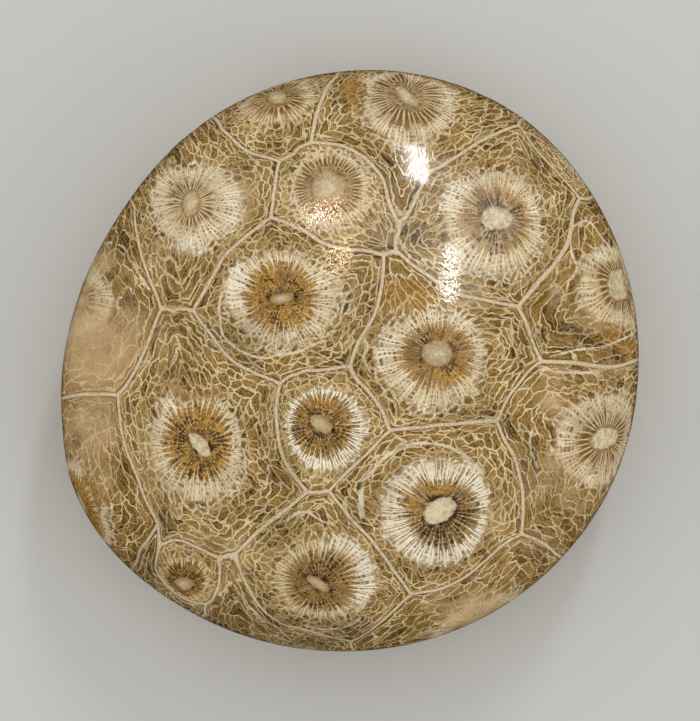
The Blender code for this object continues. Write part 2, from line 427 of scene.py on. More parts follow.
# Patches, by place on the plan grid: middle, half width, half height, and strength. They stain the
# discs amber or black, veil the stone with milk and painted haze, darken it with painted shade,
# whiten the rings and break up the polish.
patches = {
    "amber": (
        (352, 92, 15, 13, 1.0), (408, 294, 32, 15, 1.0), (88, 500, 14, 28, 0.9), (123, 220, 8, 12, 0.7),
        (609, 330, 10, 7, 1.0), (626, 347, 12, 10, 0.9), (195, 402, 26, 14, 0.9), (440, 486, 16, 9, 0.8),
        (410, 506, 9, 12, 0.7), (240, 616, 18, 20, 0.35), (140, 556, 10, 16, 0.4), (455, 300, 20, 8, 0.3),
        (260, 285, 14, 18, 0.5), (300, 318, 16, 14, 0.5), (450, 375, 18, 8, 0.5), (225, 465, 10, 12, 0.4),
    ),
    "soot": (
        (493, 200, 12, 7, 1.0), (517, 215, 6, 6, 0.9), (490, 240, 12, 8, 0.8), (425, 343, 9, 10, 1.0),
        (447, 368, 8, 7, 0.9), (435, 541, 24, 12, 1.0), (472, 510, 7, 18, 0.8), (222, 440, 9, 10, 0.8),
        (183, 440, 7, 14, 0.7), (203, 468, 12, 7, 0.8), (183, 574, 16, 6, 0.8), (330, 565, 22, 10, 0.7),
        (320, 455, 24, 6, 0.5), (296, 425, 6, 20, 0.6), (275, 318, 14, 8, 0.6), (318, 607, 22, 5, 0.6),
    ),
    "white": (
        (478, 500, 16, 40, 0.8), (440, 556, 40, 14, 0.9), (478, 468, 14, 14, 0.6),
        (366, 575, 14, 44, 1.0), (345, 540, 16, 14, 0.7), (236, 285, 12, 34, 0.7),
        (384, 350, 12, 26, 0.5), (462, 255, 14, 20, 0.4), (450, 190, 12, 24, 0.5),
        (410, 150, 30, 14, 0.5), (236, 210, 12, 30, 0.4), (190, 250, 24, 12, 0.25),
        (370, 450, 12, 30, 0.3), (362, 500, 12, 24, 0.9), (572, 420, 14, 30, 0.25),
        (600, 250, 14, 16, 0.4), (170, 400, 18, 14, 0.5), (235, 480, 14, 24, 0.2),
    ),
    # Milky clouds of the stone, and painted haze and painted light over parts of it.
    "milkAndPaintedHaze": (
        (94, 345, 40, 50, 1.05), (92, 425, 34, 34, 0.9), (150, 470, 12, 60, 0.4),
        (475, 612, 42, 20, 0.75), (420, 165, 34, 46, 0.3), (440, 240, 34, 30, 0.15),
        (555, 295, 14, 14, 0.5), (551, 402, 12, 10, 0.9), (118, 270, 26, 36, 0.25),
        (236, 560, 14, 26, 0.5), (300, 632, 36, 8, 0.5), (545, 540, 26, 18, 0.35),
        (330, 200, 40, 34, 0.15), (246, 205, 14, 20, 0.5), (605, 365, 30, 10, 0.4),
        (585, 322, 24, 20, 0.5), (540, 475, 22, 22, 0.5), (135, 325, 16, 30, 0.4),
        (168, 385, 16, 16, 0.5), (105, 478, 16, 16, 0.5), (470, 296, 22, 12, 0.5),
        (545, 500, 30, 14, 0.3), (200, 545, 30, 14, 0.4), (225, 590, 10, 20, 0.4),
        (160, 250, 16, 30, 0.35), (240, 175, 20, 20, 0.3), (565, 470, 20, 20, 0.4),
        (560, 378, 20, 14, 0.4), (268, 545, 14, 20, 0.3), (520, 175, 30, 30, 0.3),
        (610, 375, 16, 16, 0.3), (575, 505, 24, 16, 0.4), (168, 335, 18, 50, 0.35),
        (497, 515, 14, 30, 0.4), (100, 262, 14, 16, 0.5),
    ),
    # Painted shade, mostly along the lower rim.
    "paintedShade": (
        (300, 634, 84, 20, 0.9), (225, 612, 26, 20, 0.6), (140, 565, 22, 22, 0.8),
        (258, 334, 46, 16, 0.5), (405, 176, 22, 22, 0.6), (88, 520, 20, 30, 0.4), (400, 628, 60, 12, 0.4),
        (288, 470, 16, 30, 0.3),
    ),
    "glint": (
        (320, 207, 26, 28, 1.0), (338, 280, 26, 56, 0.8), (458, 270, 26, 44, 0.5),
        (408, 200, 20, 18, 0.8), (605, 410, 14, 24, 0.5), (390, 462, 20, 12, 0.5),
        (120, 260, 10, 16, 0.5),
    ),
}


outlineSteps = 32               # points of a smooth outline


# Even directions' readings, 4 or 8 of them, made into a smooth outline by adding no new waves.
def smoothRound(reach):
    waves = np.fft.rfft(reach)
    waves[len(reach) // 2] /= 2
    return np.fft.irfft(waves, outlineSteps) * outlineSteps / len(reach)


# Chords from a middle to many places, laid on the stone: the shares of each chord, and how far each
# share is from the middle along the surface, in mm.
def surfaceReach(middle, places, steps=24):
    share = np.linspace(0, 1, steps)
    points = pebblePoint(*turnAndRise(middle + (places - middle) * share[:, None, None]))
    length = np.linalg.norm(np.diff(points, axis=0), axis=-1).cumsum(0)
    return share, np.concatenate([np.zeros((1, len(places))), length])


# Two directions along the surface at a middle and the one that stands out from it.
def axesAt(middle):
    height = domeHeight if middle[2] > 0 else undersideDepth
    outward = middle / np.array([meanRadius, meanRadius, height]) ** 2
    outward /= np.linalg.norm(outward)
    side = np.eye(3)[int(abs(outward[0]) > abs(outward[1]))]
    side -= outward * (side @ outward)
    side /= np.linalg.norm(side)
    return side, np.cross(outward, side), outward


def bearing(middle, axes, places):
    away = places - middle
    return np.arctan2(away @ axes[1], away @ axes[0])


# An outline that was read on the grid, as bearings and reaches in mm from the middle. Readings past
# the rim take the reach given in mm.
def readOutline(middle, axes, heart, reach, far):
    angle = np.linspace(0, 2 * math.pi, len(reach), endpoint=False)
    places = np.array(heart) + np.stack([np.cos(angle), -np.sin(angle)], -1) * reach[:, None]
    turn, rise = seenOnDome(places)
    bulk = bulkOf(turn, rise)
    length = surfaceReach(middle, bulk)[1][-1]
    outward = axes[2]
    steep = -(outward[0] * np.cos(angle) + outward[1] * np.sin(angle)) / max(outward[2], 0.2)
    level = np.stack([np.cos(angle), np.sin(angle), steep], -1)
    hidden = rise < math.radians(5)
    bearings = np.where(hidden, bearing(0, axes, level), bearing(middle, axes, bulk))
    reaches = np.where(hidden, far, length)
    order = np.argsort(bearings)
    return bearings[order], reaches[order]


# An outline of chance: a round one with a few slow waves.
def chanceOutline(reach, unevenness):
    angle = np.linspace(-math.pi, math.pi, outlineSteps, endpoint=False)
    waves = np.arange(2, 6)
    sizes, phases = rng.normal(0, unevenness, 4) / waves, rng.uniform(0, 2 * math.pi, 4)
    return angle, reach * (1 + (np.cos(angle[:, None] * waves + phases) * sizes).sum(1))


def ellipseReach(angle, halfLength, halfWidth, tilt):
    angle = angle - math.radians(tilt)
    return 1 / np.hypot(np.cos(angle) / halfLength, np.sin(angle) / halfWidth)


# The walls of a cup joined into one loop of vertex numbers that turns left about its middle.
def cupLoop(name, middle, axes):
    sides = [(walls[pair][0], walls[pair][1], wallNumbers[pair]) for pair in walls if name in pair]
    start, end, numbers = sides.pop(0)
    loop = list(numbers[:-1])
    while sides:
        match = next(side for side in sides if end in side[:2])
        sides.remove(match)
        forward = match[0] == end
        loop.extend((match[2] if forward else match[2][::-1])[:-1])
        end = match[1] if forward else match[0]
    turns = np.unwrap(bearing(middle, axes, wallPlaces[loop]))
    return np.array(loop if turns[-1] > turns[0] else loop[::-1])


# How far each point is from the nearest stretch of an open or closed line, which stretch that is,
# and how far along it.
def nearestOn(points, starts, ends):
    along = ends - starts
    share = ((points[:, None] - starts) * along).sum(-1) / (along**2).sum(-1)
    off = points[:, None] - starts - along * np.clip(share, 0, 1)[..., None]
    distance = np.linalg.norm(off, axis=-1)
    nearest = distance.argmin(1)
    rows = np.arange(len(points))
    return distance[rows, nearest], nearest, share[rows, nearest]


# Sum of soft-edged oval patches at places seen from above.
def patchStrength(seen, kind):
    total = np.zeros(len(seen))
    for x, y, halfWidth, halfHeight, strength in patches[kind]:
        off = np.hypot((seen[:, 0] - x) / halfWidth, (seen[:, 1] - y) / halfHeight)
        total += strength * (1 - np.clip((off - 0.55) / 0.9, 0, 1)) ** 1.5
    return np.clip(total, 0, 1.2)


wallNumbers, wallPlaces, wallWidths = {}, list(corners.values()), [1.0] * len(corners)
cornerNumbers = {name: number for number, name in enumerate(corners)}
for pair, (start, end, path) in walls.items():
    first = len(wallPlaces)
    wallPlaces.extend(path[1:-1])
    wide = wideWalls.get("".join(sorted(pair)), rng.uniform(*wallMake["chanceWidth"]))
    wallWidths.extend([wide] * (len(path) - 2))
    wallNumbers[pair] = [cornerNumbers[start], *range(first, len(wallPlaces)), cornerNumbers[end]]
wallPlaces, wallWidths = np.array(wallPlaces), np.array(wallWidths)
cupNames = sorted({name for pair in walls for name in pair})

cupMake = {
    "coreFar": 1.2,             # mm, a core's half width where it runs over the rim
    "hiddenCoreWidth": 0.9,     # mm, half of it
    "unevenness": (0.05, 0.12, 0.15),   # of the hidden cores, discs and rings
    "coreLimit": 0.5,           # a core is at most this share of its disc
    "discLimit": 0.74,          # a disc goes at most this share of the way to the wall
    "ringLimits": (1.12, 0.94),     # a ring stands off its disc, and ends this near to the wall
    "fade": (0.02, 0.06),       # rise at which patches begin above the rim, and over how much
}
# Shares of the way across each zone where rings of points lie.
zoneSteps = {
    "heart": (0.55, 1.0),
    "disc": (0.33, 0.67, 1.0),
    "ring": (0.33, 0.67, 1.0),
    "outside": (0.2, 0.4, 0.62, 0.84, 1.0),
}


# Outlines of a cup's core, disc and ring, each as bearings and reaches in mm.
def cupOutlines(look, middle, axes):
    if "heart" in look:
        around = np.linspace(0, 2 * math.pi, outlineSteps, endpoint=False)
        reaches = ellipseReach(around, *look["core"]), smoothRound(look["disc"]), smoothRound(look["ring"])
        return [readOutline(middle, axes, look["heart"], reach, far)
                for reach, far in zip(reaches, (cupMake["coreFar"], *look["far"]))]
    disc, ring = look.get("far", (rng.uniform(*hiddenLook["disc"]), rng.uniform(*hiddenLook["ring"])))
    uneven = cupMake["unevenness"]
    around, core = chanceOutline(1.0, uneven[0])
    core = core * ellipseReach(around, rng.uniform(*hiddenLook["core"]), cupMake["hiddenCoreWidth"],
                               rng.uniform(0, 180))
    return [(around, core), chanceOutline(disc, uneven[1]), chanceOutline(ring, uneven[2])]


# How far points are from the second outlines in a cup, with a sign for the side, and how far they
# are within the ends of those, in mm.
def seamFacts(name, points, outward):
    seamOff, seamEnd = np.full(len(points), 6.0), np.full(len(points), -6.0)
    for line in innerOutlines.get(name, ()):
        path = pebblePoint(*turnAndRise(smoothPath(bulkOf(*seenOnDome(line)), 0.4)))
        distance, piece, along = nearestOn(points, path[:-1], path[1:])
        direction = path[piece + 1] - path[piece]
        side = np.sign((np.cross(direction, points - path[piece]) * outward).sum(-1))
        length = (piece + along) * np.linalg.norm(direction, axis=-1)
        inside = np.minimum(length, np.linalg.norm(np.diff(path, axis=0), axis=-1).sum() - length)
        inside = np.minimum(inside, 0.8 - distance)
        closer = distance < np.abs(seamOff)
        seamOff = np.where(closer, distance * side, seamOff)
        seamEnd = np.where(closer, inside, seamEnd)
    return seamOff, seamEnd


# One cup as a grid of rings round its heart: places on the bulk, faces, and what the stone's
# material needs to know at each point of the grid.
def makeCup(name, firstNumber):
    look = cupLooks.get(name)
    if look is None:
        look = {key: rng.uniform(*hiddenLook[key]) for key in stainNames[:-1]}
        look["septa"] = hiddenLook["septa"]
    if "heart" in look:
        middle = bulkOf(*seenOnDome(look["heart"]))
    elif "at" in look:
        middle = bulkOf(*np.radians(look["at"]))
    else:
        ownCorners = [corners[corner] for corner in corners if name in corner]
        middle = onBulk(np.mean(ownCorners, 0) + rng.normal(0, hiddenLook["shift"] / 2, 3))
    axes = axesAt(middle)
    loop = cupLoop(name, middle, axes)
    edge = wallPlaces[loop]
    turns = bearing(middle, axes, edge)
    share, reach = surfaceReach(middle, edge)
    toWall = reach[-1]

    outlines = cupOutlines(look, middle, axes)
    core, disc, ring = (np.interp(turns, *outline, period=2 * math.pi) for outline in outlines)
    disc = np.minimum(disc, toWall * cupMake["discLimit"])
    core = np.minimum(core, disc * cupMake["coreLimit"])
    ring = np.clip(ring, disc * cupMake["ringLimits"][0], toWall * cupMake["ringLimits"][1])

    edges = np.stack([np.zeros_like(core), core, disc, ring, toWall])
    wanted, zones = [], []
    for zone, steps in enumerate(zoneSteps.values()):
        for step in steps:
            wanted.append(edges[zone] + (edges[zone + 1] - edges[zone]) * step)
            zones.append(zone + step)
    wanted, zones = np.array(wanted), np.array(zones)
    shares = np.stack([np.interp(wanted[:, ray], reach[:, ray], share) for ray in range(len(loop))], 1)
    shares[-1] = 1

    places = onBulk(middle + (edge - middle) * shares[..., None])
    places = np.concatenate([middle[None], places.reshape(-1, 3)])
    rings, rays = shares.shape
    numbers = firstNumber + np.arange(len(places) - rays)
    numbers = np.concatenate([numbers, loop])
    grid = 1 + np.arange(rings * rays).reshape(rings, rays)
    beside = np.roll(grid, -1, 1)
    fan = np.stack([np.zeros(rays, int), grid[0], beside[0]], -1)
    quads = np.stack([grid[:-1], grid[1:], beside[1:], beside[:-1]], -1).reshape(-1, 4)

    points = pebblePoint(*turnAndRise(places))
    rim = points[grid[-1]]
    wallGap, nearest, _ = nearestOn(points, rim, np.roll(rim, -1, 0))
    direction = np.tile(np.stack([np.cos(turns), np.sin(turns)], -1), (rings, 1))
    flat = np.concatenate([[0], wanted.ravel()])[:, None] * np.concatenate([[[0, 0]], direction])
    zone = np.concatenate([[0], np.repeat(zones, rays)])
    pastRing = np.concatenate([[-ring.mean()], (wanted - ring).ravel()])

    seen = seenFromEye(points)
    fadeStart, fadeWidth = cupMake["fade"]
    above = np.clip((turnAndRise(places)[1] - fadeStart) / fadeWidth, 0, 1)
    marks = {kind: patchStrength(seen, kind) for kind in patches}
    columns = {
        "cup": (flat[:, 0], flat[:, 1], rng.uniform(0, 50)),
        "zone": (zone, wallGap, pastRing),
        "seam": (*seamFacts(name, points, axes[2]), wallWidths[loop][nearest]),
        "marks": (np.clip(look["amber"] + marks["amber"] * above * (zone < 2.02), 0, 1),
                  np.clip(look["soot"] + marks["soot"] * above * 0.6, 0, 1.2),
                  np.clip(look["white"] + marks["white"] * above * 0.6, 0, 1.2)),
        # The veil holds amber patches, milk with painted haze less the painted shade, and the spoke.
        "veil": (marks["amber"] * above,
                 np.clip((marks["milkAndPaintedHaze"] - marks["paintedShade"]) * above + look["grey"] * 0.4, -1, 1),
                 look["spoke"]),
        "pith": (look["pale"], look["light"], look["septa"]),
        "weave": (look["lace"], look["cells"], marks["glint"] * above),
    }
    details = {key: np.stack(np.broadcast_arrays(*three, zone)[:3], -1) for key, three in columns.items()}
    return places[:-rays], numbers, fan, quads, details


# All cups joined along their walls into one closed mesh, with the cups' facts at its corners.
def makeStoneMesh():
    places, total = [wallPlaces], len(wallPlaces)
    fanLoops, quadLoops, fanDetails, quadDetails = [], [], [], []
    for name in cupNames:
        inner, numbers, fan, quads, details = makeCup(name, total)
        places.append(inner)
        total += len(inner)
        fanLoops.append(numbers[fan])
        quadLoops.append(numbers[quads])
        fanDetails.append({key: value[fan] for key, value in details.items()})
        quadDetails.append({key: value[quads] for key, value in details.items()})
    places = np.concatenate(places)
    fans, quads = np.concatenate(fanLoops), np.concatenate(quadLoops)
    mesh = bpy.data.meshes.new("coral_head")
    mesh.vertices.add(len(places))
    mesh.vertices.foreach_set("co", pebblePoint(*turnAndRise(places)).ravel())
    mesh.loops.add(fans.size + quads.size)
    mesh.loops.foreach_set("vertex_index", np.concatenate([fans.ravel(), quads.ravel()]))
    mesh.polygons.add(len(fans) + len(quads))
    starts = np.concatenate([np.arange(len(fans)) * 3, fans.size + np.arange(len(quads)) * 4])
    mesh.polygons.foreach_set("loop_start", starts)
    mesh.update(calc_edges=True)
    for key in fanDetails[0]:
        values = np.concatenate([np.concatenate([part[key] for part in group]).reshape(-1, 3)
                                 for group in (fanDetails, quadDetails)])
        layer = mesh.attributes.new(key, "FLOAT_VECTOR", "CORNER")
        layer.data.foreach_set("vector", values.astype(np.float32).ravel())
    return mesh


# Cuts the mesh along level planes, so that the broken edge and the seam of the map run true.
def cutAlongLevels(mesh, levels):
    work = bmesh.new()
    work.from_mesh(mesh)
    for level in levels:
        bmesh.ops.bisect_plane(work, geom=work.verts[:] + work.edges[:] + work.faces[:], dist=1e-5,
                               plane_co=(0, 0, level), plane_no=(0, 0, 1))
    work.to_mesh(mesh)
    work.free()


stoneMesh = makeStoneMesh()
width = stoneForm["edgeRounding"]
cutAlongLevels(stoneMesh, (stoneForm["discSplit"], width, width / 2, 0, -width / 2, -width))
triangles = sum(len(face.vertices) - 2 for face in stoneMesh.polygons)
print("mesh:", len(stoneMesh.vertices), "points,", triangles, "triangles")


# The polished stone. Lengths are in mm, colours are hex.
stoneLook = {
    "septumHalf": 0.07,         # half thicknesses of the drawn lines
    "netHalf": 0.078,
    "fineNetHalf": 0.055,
    "bubbleLength": 1.4,        # along the wall
    "dashLength": 1.4,
    "dotLength": 0.6,
    "holeLength": 0.6,
    "fineShare": 0.5,           # size of the small bubbles against the large ones
    "bubbleReach": 8.0,         # from the heart, where bubbles have that length
    "tint": (0.98, 0.95, 0.86),     # of the whole coral but its seams, veils and walls
    "roughness": 0.045, "specular": 0.5,
    "relief": 0.004, "reliefStrength": 0.5,
}
stoneTones = {
    "fill": "8c6a2d", "fillDark": "462d0a", "fillPale": "a5864f", "shadow": "362006", "line": "e6d3ab",
    "ringWhite": "f3ecda", "ringCream": "d0b688", "dashBrown": "68481b", "streak": "b09468",
    "spokeBrown": "a9875b", "spokeDark": "51361b", "discPale": "d0b389", "pith": "bba47e",
    "amber": "cfa65a", "amberDeep": "7f5722", "soot": "140a04", "heart": "e2d6b6", "heartDeep": "b4a686",
    "wall": "e2cfb0", "wallShade": "553910", "milkAndPaintedHaze": "c8a97f", "seam": "e6d8bc",
}


# A named colour from hex to the linear values that the shader works with.
def tone(name):
    shades = np.array([int(stoneTones[name][i:i + 2], 16) for i in (0, 2, 4)]) / 255
    linear = np.where(shades <= 0.04045, shades / 12.92, ((shades + 0.055) / 1.055) ** 2.4)
    return (*linear.tolist(), 1.0)


material = bpy.data.materials.new("polished_coral")
material.use_nodes = True
nodes, links = material.node_tree.nodes, material.node_tree.links


def plug(socket, value):
    if isinstance(value, Wire):
        links.new(value.socket, socket)
    else:
        socket.default_value = tone(value) if isinstance(value, str) else value


# One node with its settings, and its inputs by name or number; gives back one of its outputs.
def make(kind, inputs, output=0, **settings):
    node = nodes.new("ShaderNode" + kind)
    for key, value in settings.items():
        setattr(node, key, value)
    for key, value in inputs.items():
        plug(node.inputs[key], value)
    return Wire(node.outputs[output])


def calc(operation, *values):
    return make("Math", dict(enumerate(values)), operation=operation)


# A node's output that can be added and multiplied like a number.
class Wire:
    def __init__(self, socket):
        self.socket = socket

    def __rsub__(self, other):
        return calc("SUBTRACT", other, self)


for sign, operation in (("add", "ADD"), ("radd", "ADD"), ("sub", "SUBTRACT"), ("mul", "MULTIPLY"),
                        ("rmul", "MULTIPLY"), ("truediv", "DIVIDE")):
    setattr(Wire, f"__{sign}__", lambda self, other, operation=operation: calc(operation, self, other))


def high(a, b):
    return calc("MAXIMUM", a, b)


# 0 up to one value, 1 from the other on, a smooth step between.
def between(value, start, end):
    return make("MapRange", {"Value": value, "From Min": start, "From Max": end},
                interpolation_type="SMOOTHSTEP")


def vector(x, y, z):
    return make("CombineXYZ", {"X": x, "Y": y, "Z": z})


def parts(wire):
    node = nodes.new("ShaderNodeSeparateXYZ")
    plug(node.inputs[0], wire)
    return [Wire(output) for output in node.outputs]


def vectorCalc(operation, *values, output=0):
    return make("VectorMath", dict(enumerate(values)), output, operation=operation)


def scaled(wire, amount):
    return vectorCalc("MULTIPLY", wire, (amount, amount, amount))


def detail(name):
    return parts(make("Attribute", {}, "Vector", attribute_name=name))


def noise(place, scale, octaves=2.0, roughness=0.5, output=0):
    inputs = {"Vector": place, "Scale": scale, "Detail": octaves, "Roughness": roughness}
    return make("TexNoise", inputs, output)


def chance(place):
    return make("TexWhiteNoise", {"Vector": place}, "Value")


# Heart of the nearest (F1) or second nearest (F2) cell of a random tiling.
def cellHeart(place, feature):
    return make("TexVoronoi", {"Vector": place, "Scale": 1.0}, "Position", feature=feature)


# Inputs 6 and 7 of this node are its two colours, and output 2 is their mix.
def blend(share, first, second):
    return make("Mix", {"Factor": share, 6: first, 7: second}, 2, data_type="RGBA")


# Layers laid over a colour one after another, each with its share.
def paint(colour, *layers):
    for share, layer in layers:
        colour = blend(share, colour, layer)
    return colour


place = scaled(make("TexCoord", {}, "Object"), 1 / mm)
cupX, cupY, cupChance = detail("cup")
zone, wallGap, pastRing = detail("zone")
seamOff, seamEnd, wallWide = detail("seam")
amberStain, sootStain, white = detail("marks")
amberPatch, milkAndPaintedLight, spoke = detail("veil")
# Milk with painted haze above nought, painted shade below it.
milkAndPaintedHaze, paintedShadeShare = high(milkAndPaintedLight, 0), high(milkAndPaintedLight * -1, 0)
pale, light, septa = detail("pith")
lace, cellScale, glint = detail("weave")
cupPlace = vector(cupX, cupY, cupChance)


# The same place in a cup, but in another slice of the noise.
def inCup(slice):
    return vector(cupX, cupY, cupChance + slice)


cloud = noise(place, 0.22, 3)
wave = noise(place, 0.9, 1)
grain = noise(place, 2.2, 3, 0.6)
fineGrain = noise(place, 6.0, 2, 0.6)
speck = noise(place, 3.6, 1)
mottle = noise(place, 4.6, 2, 0.7)
# The same, about nought.
cloudOff, waveOff, grainOff, fineOff, speckOff, mottleOff = (
    value - 0.5 for value in (cloud, wave, grain, fineGrain, speck, mottle))

# Polar coordinates in a cup: distance from the heart in mm, and the turn as a point on a circle.
out = calc("SQRT", cupX * cupX + cupY * cupY)
turn = calc("ARCTAN2", cupY, cupX)
circleX, circleY = calc("COSINE", turn), calc("SINE", turn)
bend = noise(cupPlace, 0.45, 1)


# Which gap between septa a point lies in, how far it is from the nearest septum in mm, and where
# across the gap it is.
def septumGap(count, uneven):
    jitter = noise(vector(circleX * uneven * 3.2, circleY * uneven * 3.2, cupChance), 1.0, 1)
    counted = turn * count * (0.5 / math.pi) + (jitter - 0.5) * uneven + (bend - 0.5) * uneven * 0.4
    share = calc("FRACT", counted)
    index = calc("FLOORED_MODULO", calc("FLOOR", counted), count)
    gap = (0.5 - calc("ABSOLUTE", share - 0.5)) * out * (2 * math.pi) / count
    return index, gap, share


discIndex, discGap, discShare = septumGap(septa, 1.3)
ringIndex, ringGap, ringShare = septumGap(septa * 2, 2.6)
discChance = chance(vector(discIndex, cupChance, 1.5))
discOff = discChance - 0.5
ringChance = chance(vector(ringIndex, cupChance, 7.5))

# Wall distance that runs faster near the wall, so that cells counted along it are thin there.
rim = wallGap + waveOff * 0.65
nearWall = calc("EXPONENT", rim * -0.8)
layer = rim + (1 - nearWall) * 0.75
layerSlope = 1.0 + nearWall * 0.6
drum = stoneLook["bubbleReach"] / stoneLook["bubbleLength"]
drift = noise(place, 0.8, 1, 0.5, 1)


# Bubbles are cells of a random tiling cut by a drum, turn round it and wall distance along it. The
# two nearest cell hearts give the line between them, and its slope makes the distance true, in mm.
def bubbleNet(fineness):
    count = cellScale * fineness
    drumPlace = vector(circleX * count * drum, circleY * count * drum, layer * count + cupChance * 3)
    shifted = vectorCalc("MULTIPLY_ADD", drift, (0.45, 0.45, 0.45), drumPlace)
    nearest, second = cellHeart(shifted, "F1"), cellHeart(shifted, "F2")
    across = vectorCalc("NORMALIZE", vectorCalc("SUBTRACT", second, nearest))
    halfway = scaled(vectorCalc("ADD", nearest, second), 0.5)
    gap = vectorCalc("DOT_PRODUCT", vectorCalc("SUBTRACT", halfway, shifted), across, output=1)
    acrossX, acrossY, acrossZ = parts(across)
    aroundRate = (acrossY * circleX - acrossX * circleY) * count * drum / high(out, 2)
    layerRate = acrossZ * layerSlope * count
    rate = calc("SQRT", aroundRate * aroundRate + layerRate * layerRate)
    return gap / high(rate, 0.15 * fineness), chance(nearest), acrossZ


netGap, cellChance, netSide = bubbleNet(1.0)
fineGap, fineChance, _ = bubbleNet(1 / stoneLook["fineShare"])
netHalf = stoneLook["netHalf"] * (0.45 + grain)
net = 1 - between(netGap, netHalf * 0.5, netHalf * 2.0)
fineHalf = stoneLook["fineNetHalf"] * (0.4 + speck * 1.1)
nearRing = between(pastRing + waveOff * 1.5, 2.2, -0.3)
fineNet = (1 - between(fineGap, fineHalf * 0.5, fineHalf * 2.2)) * (0.3 + nearRing * 0.6)

# Long growth lines that run along the walls.
growth = calc("ABSOLUTE", calc("FRACT", layer * 0.55 + wave * 0.7 + cupChance) - 0.5)
growthLine = (1 - between(growth, 0.02, 0.09)) * between(noise(cupPlace, 0.4, 1), 0.5, 0.64)

# Fill between the bubbles' lines: some dark, some pale, with painted shade on one side of the lines and
# darker near the walls.
deep = cellChance * 0.6 + cloud * 0.6 + nearRing * 0.12 + (fineChance - 0.5) * 0.35 + grainOff * 0.9
sideShade = (1 - between(netGap, 0.05, 0.34)) * between(netSide, -0.1, 0.6) * between(grain, 0.3, 0.55)
fill = paint(
    blend(between(deep, 0.1, 0.75), "fillDark", "fill"),
    (between(deep, 0.65, 1.05) * 0.8, "fillPale"),
    (sideShade * 0.8, "shadow"),
    (between(mottle, 0.54, 0.68) * 0.5, "fillPale"),
    (between(mottle, 0.48, 0.34) * 0.65, "shadow"),
)
lineTone = blend(between(pastRing + cloudOff * 2, 0.0, 2.4), "ringCream", "line")
lineShare = high(net, growthLine * 0.75) * (0.55 + between(cloud, 0.3, 0.65) * 0.4 + mottleOff * 1.2)
bubbles = paint(fill, (fineNet * 0.6, lineTone), (lineShare, lineTone))


# One oval hole in each length of each gap between septa: 1 in its middle, 0 or less at its ends.
def holesBetween(share, index, length, seed, narrow=1.0):
    along = out / length + chance(vector(index, cupChance, seed)) * 5 + grainOff * 0.8
    middle = calc("FRACT", along) - 0.5
    across = (share - 0.5) * narrow
    oval = 1 - calc("SQRT", across * across + middle * middle * 0.8) * 2
    return oval, chance(vector(index, calc("FLOOR", along), cupChance + seed))


# The pale ring: fine septa with dark dashes between them, long where it is white, else short.
ringEdge = zone + waveOff * 0.8
dullEdge = between(ringEdge + (1 - white) * 0.3, 2.45, 3.05) * between(white, 0.8, 0.6)
outerRing = high(dullEdge, between(ringEdge, 2.75, 3.05) * 0.7)
longOval, longChance = holesBetween(ringShare, ringIndex, stoneLook["dashLength"], 1.5, 1.7)
shortOval, shortChance = holesBetween(ringShare, ringIndex, stoneLook["dotLength"], 2.5)
teeth = between(zone + (ringChance - 0.5) * 0.6, 2.35, 2.02)
rimBand = between(zone + waveOff * 0.5, 2.55, 2.8) * between(white, 0.4, 0.8) * between(lace, 0.6, 0.2)
whiteShare = between(white + cloudOff * 0.9 + waveOff * 0.5, 0.3, 0.95)
uneven = speckOff * 0.5 + cloudOff * 0.5 + between(zone, 2.1, 1.9) * 0.12
longDash = between(longOval + (longChance - 0.5) * 0.6 + teeth * 0.4 - rimBand * 0.5 + uneven, 0.16, 0.42)
shortDash = between(shortOval + (shortChance - 0.5) * 0.7 + uneven * 0.5, 0.5, 0.75)
dash = high(longDash + (shortDash - longDash) * lace, shortDash * 0.5) * (1 - outerRing * 0.7)
ringTone = blend(high(whiteShare, lace * 0.5), "ringCream", "ringWhite")
ringTone = blend(between(ringGap, 0.09, 0.03) * (0.4 - lace * 0.2), ringTone, "ringWhite")
dashTone = blend(between(grain, 0.35, 0.65), "dashBrown", "fill")
streak = between(ringGap, 0.06, 0.16) * between(longChance + speckOff * 0.6, 0.25, 0.6) * (1 - lace * 0.9)
ringTone = blend(streak * 0.65, ringTone, "streak")
openCells = high(between(netGap, 0.1, 0.26), between(fineGap, 0.06, 0.14) * 0.45)
ring = paint(ringTone, (dash * 0.9, dashTone), (outerRing * openCells, fill))
spike = (discChance - 0.4) * 0.5 + waveOff * 1.3
discBow = (discShare - 0.5) * (discShare - 0.5)
lobe = (0.25 - discBow) * -1.6
frayed = between(pastRing + lobe, spike, spike - 0.16)
spikes = (1 - between(ringGap, 0.04, 0.12)) * between(pastRing, spike * 2 + 0.5, spike * 2 - 0.3)
ringCover = high(frayed, spikes * between(white, 0.9, 0.5) * 0.9)

# The spoked disc: thin pale septa, brown or amber between them, and soot in strings and holes.
bold = between(spoke, 0.8, 0.9)
boldStart = 1.02 + high(spoke - 0.9, 0) * 3
side = noise(inCup(6), 0.5, 1)
septumHalf = stoneLook["septumHalf"] * (0.4 + grain * 0.9) * (1 + bold * 0.3)
past = zone - boldStart
boldGap = bold * between(past, -0.08, 0.08) * between(past + discOff * 0.5, 0.75, 0.35)
drawn = between(side + (spoke - 0.7) * 0.9 + light * light * 0.2, 0.45, 0.7)
drawn = drawn * (1 - bold * between(past, 0.1, -0.06))
septum = (1 - between(discGap, septumHalf * 0.5, septumHalf * 1.9)) * drawn
spokeNoise = noise(vector(discIndex * 4.1 + cupChance, out * 1.6, cupChance), 1.0, 2)
besideSeptum = (between(discGap, 0.2, 0.07) * 0.6
                + between(discGap, 0.05, 0.2) * between(discChance, 0.6, 0.8))
petal = zone + discOff * 1.5 + grainOff * 0.5
